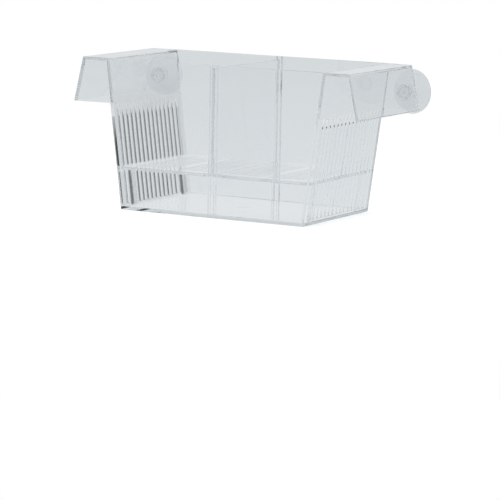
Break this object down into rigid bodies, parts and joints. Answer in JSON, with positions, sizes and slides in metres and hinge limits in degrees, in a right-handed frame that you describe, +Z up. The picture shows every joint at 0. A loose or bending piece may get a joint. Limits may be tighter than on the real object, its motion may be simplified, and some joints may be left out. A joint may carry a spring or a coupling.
{
  "type": "fish breeding box",
  "caption": "Clear plastic fish breeding box: open tub with slatted end walls, two hollow hanging arms, slotted tray, removable divider and clear suction cups.",
  "frame": {"origin": "middle of the tub's underside, on the surface it stands on", "axes": "+X along the tub to the right, +Y to the rear, which is the side with the suction cups, +Z up"},
  "size_m": [0.2078, 0.0942, 0.094],
  "materials": {
    "clear_polystyrene_tub": "clear, moulded smooth",
    "clear_polystyrene_tray": "clear, moulded smooth",
    "clear_polystyrene_divider": "clear, moulded smooth",
    "clear_soft_pvc": "clear soft PVC, slightly hazy"
  },
  "bodies": {
    "tub": {"tub": "clear_polystyrene_tub"},
    "tray": {"slotted_tray": "clear_polystyrene_tray"},
    "divider": {"divider": "clear_polystyrene_divider"},
    "left_cup": {"left_suction_cup": "clear_soft_pvc"},
    "right_cup": {"right_suction_cup": "clear_soft_pvc"}
  },
  "joints": [
    {"name": "tray_lift", "type": "slide", "parent": "tub", "child": "tray", "axis": [0, 0, 1], "range_m": [0, 0.1]},
    {"name": "divider_lift", "type": "slide", "parent": "tray", "child": "divider", "axis": [0, 0, 1], "range_m": [0, 0.07]},
    {"name": "left_cup_swivel", "type": "hinge", "parent": "tub", "child": "left_cup", "pos_m": [-0.089, 0.04153, 0.0768], "axis": [-0.1219, 0.9925, 0], "continuous": true},
    {"name": "right_cup_swivel", "type": "hinge", "parent": "tub", "child": "right_cup", "pos_m": [0.089, 0.04153, 0.0768], "axis": [0.1219, 0.9925, 0], "continuous": true}
  ]
}
